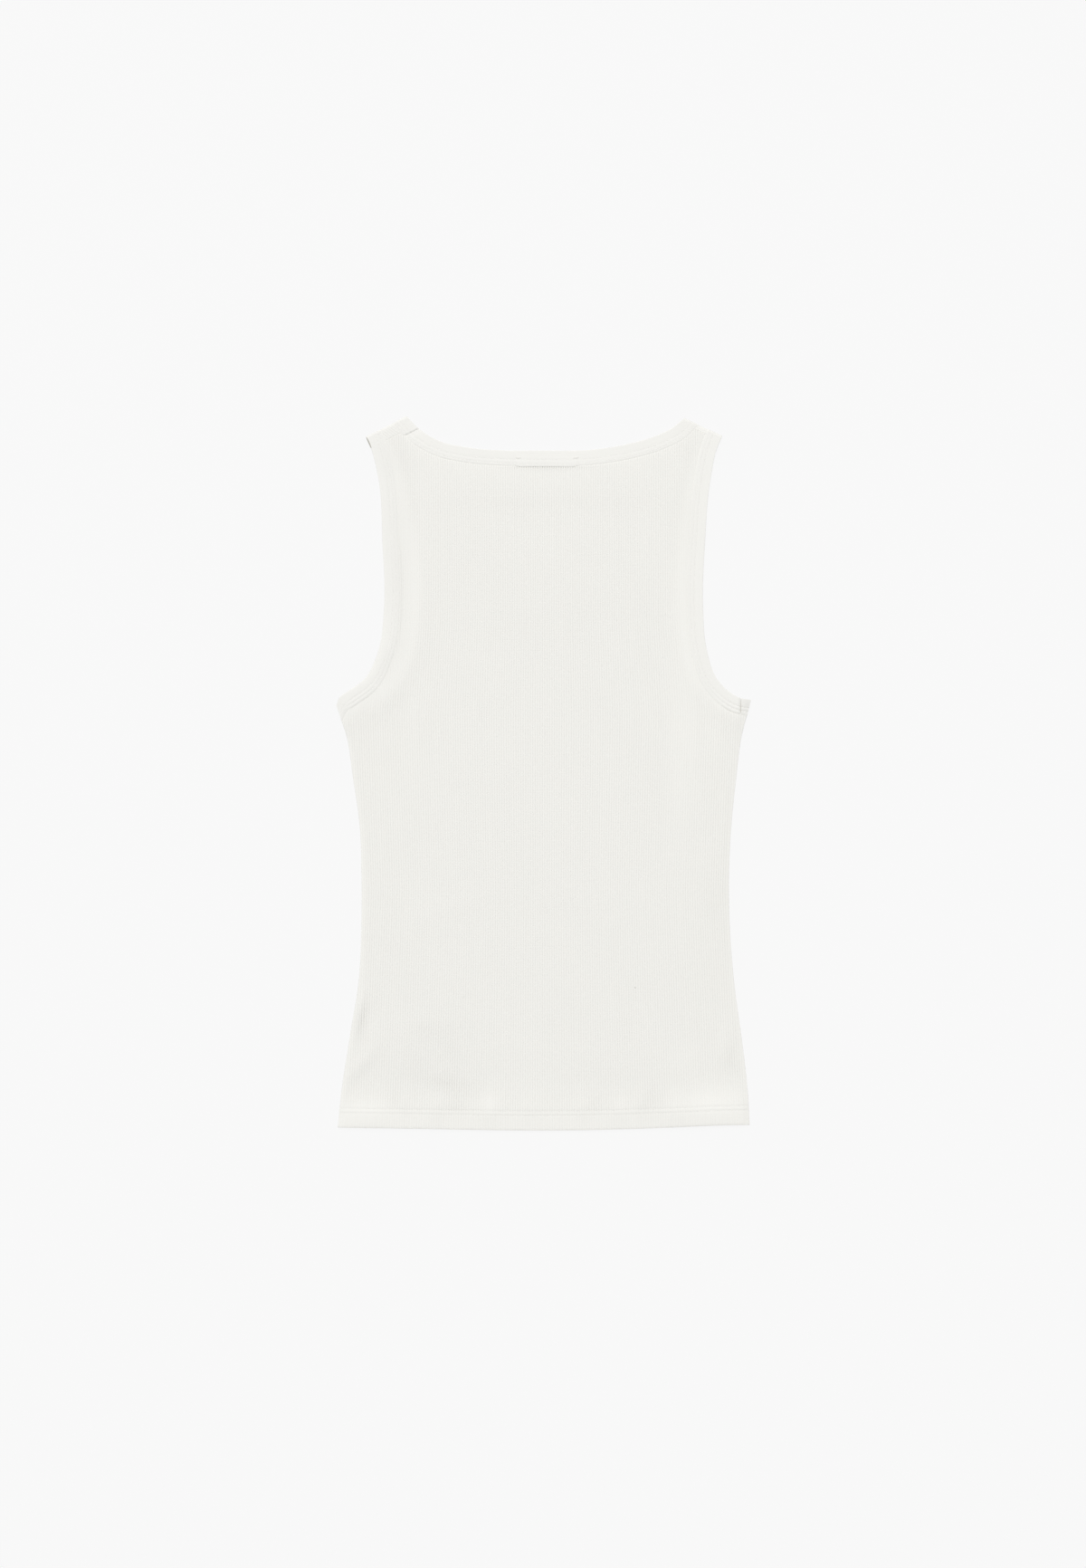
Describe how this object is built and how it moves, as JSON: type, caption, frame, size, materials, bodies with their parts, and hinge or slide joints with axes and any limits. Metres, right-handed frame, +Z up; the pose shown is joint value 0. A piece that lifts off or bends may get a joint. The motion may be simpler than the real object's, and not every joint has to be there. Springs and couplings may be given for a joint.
{
  "type": "tank top",
  "caption": "Fitted ribbed tank top laid flat on its face, with a wide shallow back neckline, bound armholes and neck, and a turned-up hem.",
  "frame": {"origin": "on the surface that the garment lies on, under the middle of its bounding box", "axes": "+Y from the hem towards the shoulders, +Z up through the layers, +X to the right seen from above with the shoulders away from the viewer"},
  "size_m": [0.3526, 0.6068, 0.0044],
  "materials": {
    "rib_knit": "matte off-white fine rib knit",
    "binding_knit": "matte off-white knit, folded and twin-stitched"
  },
  "bodies": {
    "root": {"back_panel": "rib_knit", "front_panel": "rib_knit", "neck_binding": "binding_knit", "armhole_binding_left": "binding_knit", "armhole_binding_right": "binding_knit"}
  },
  "joints": []
}
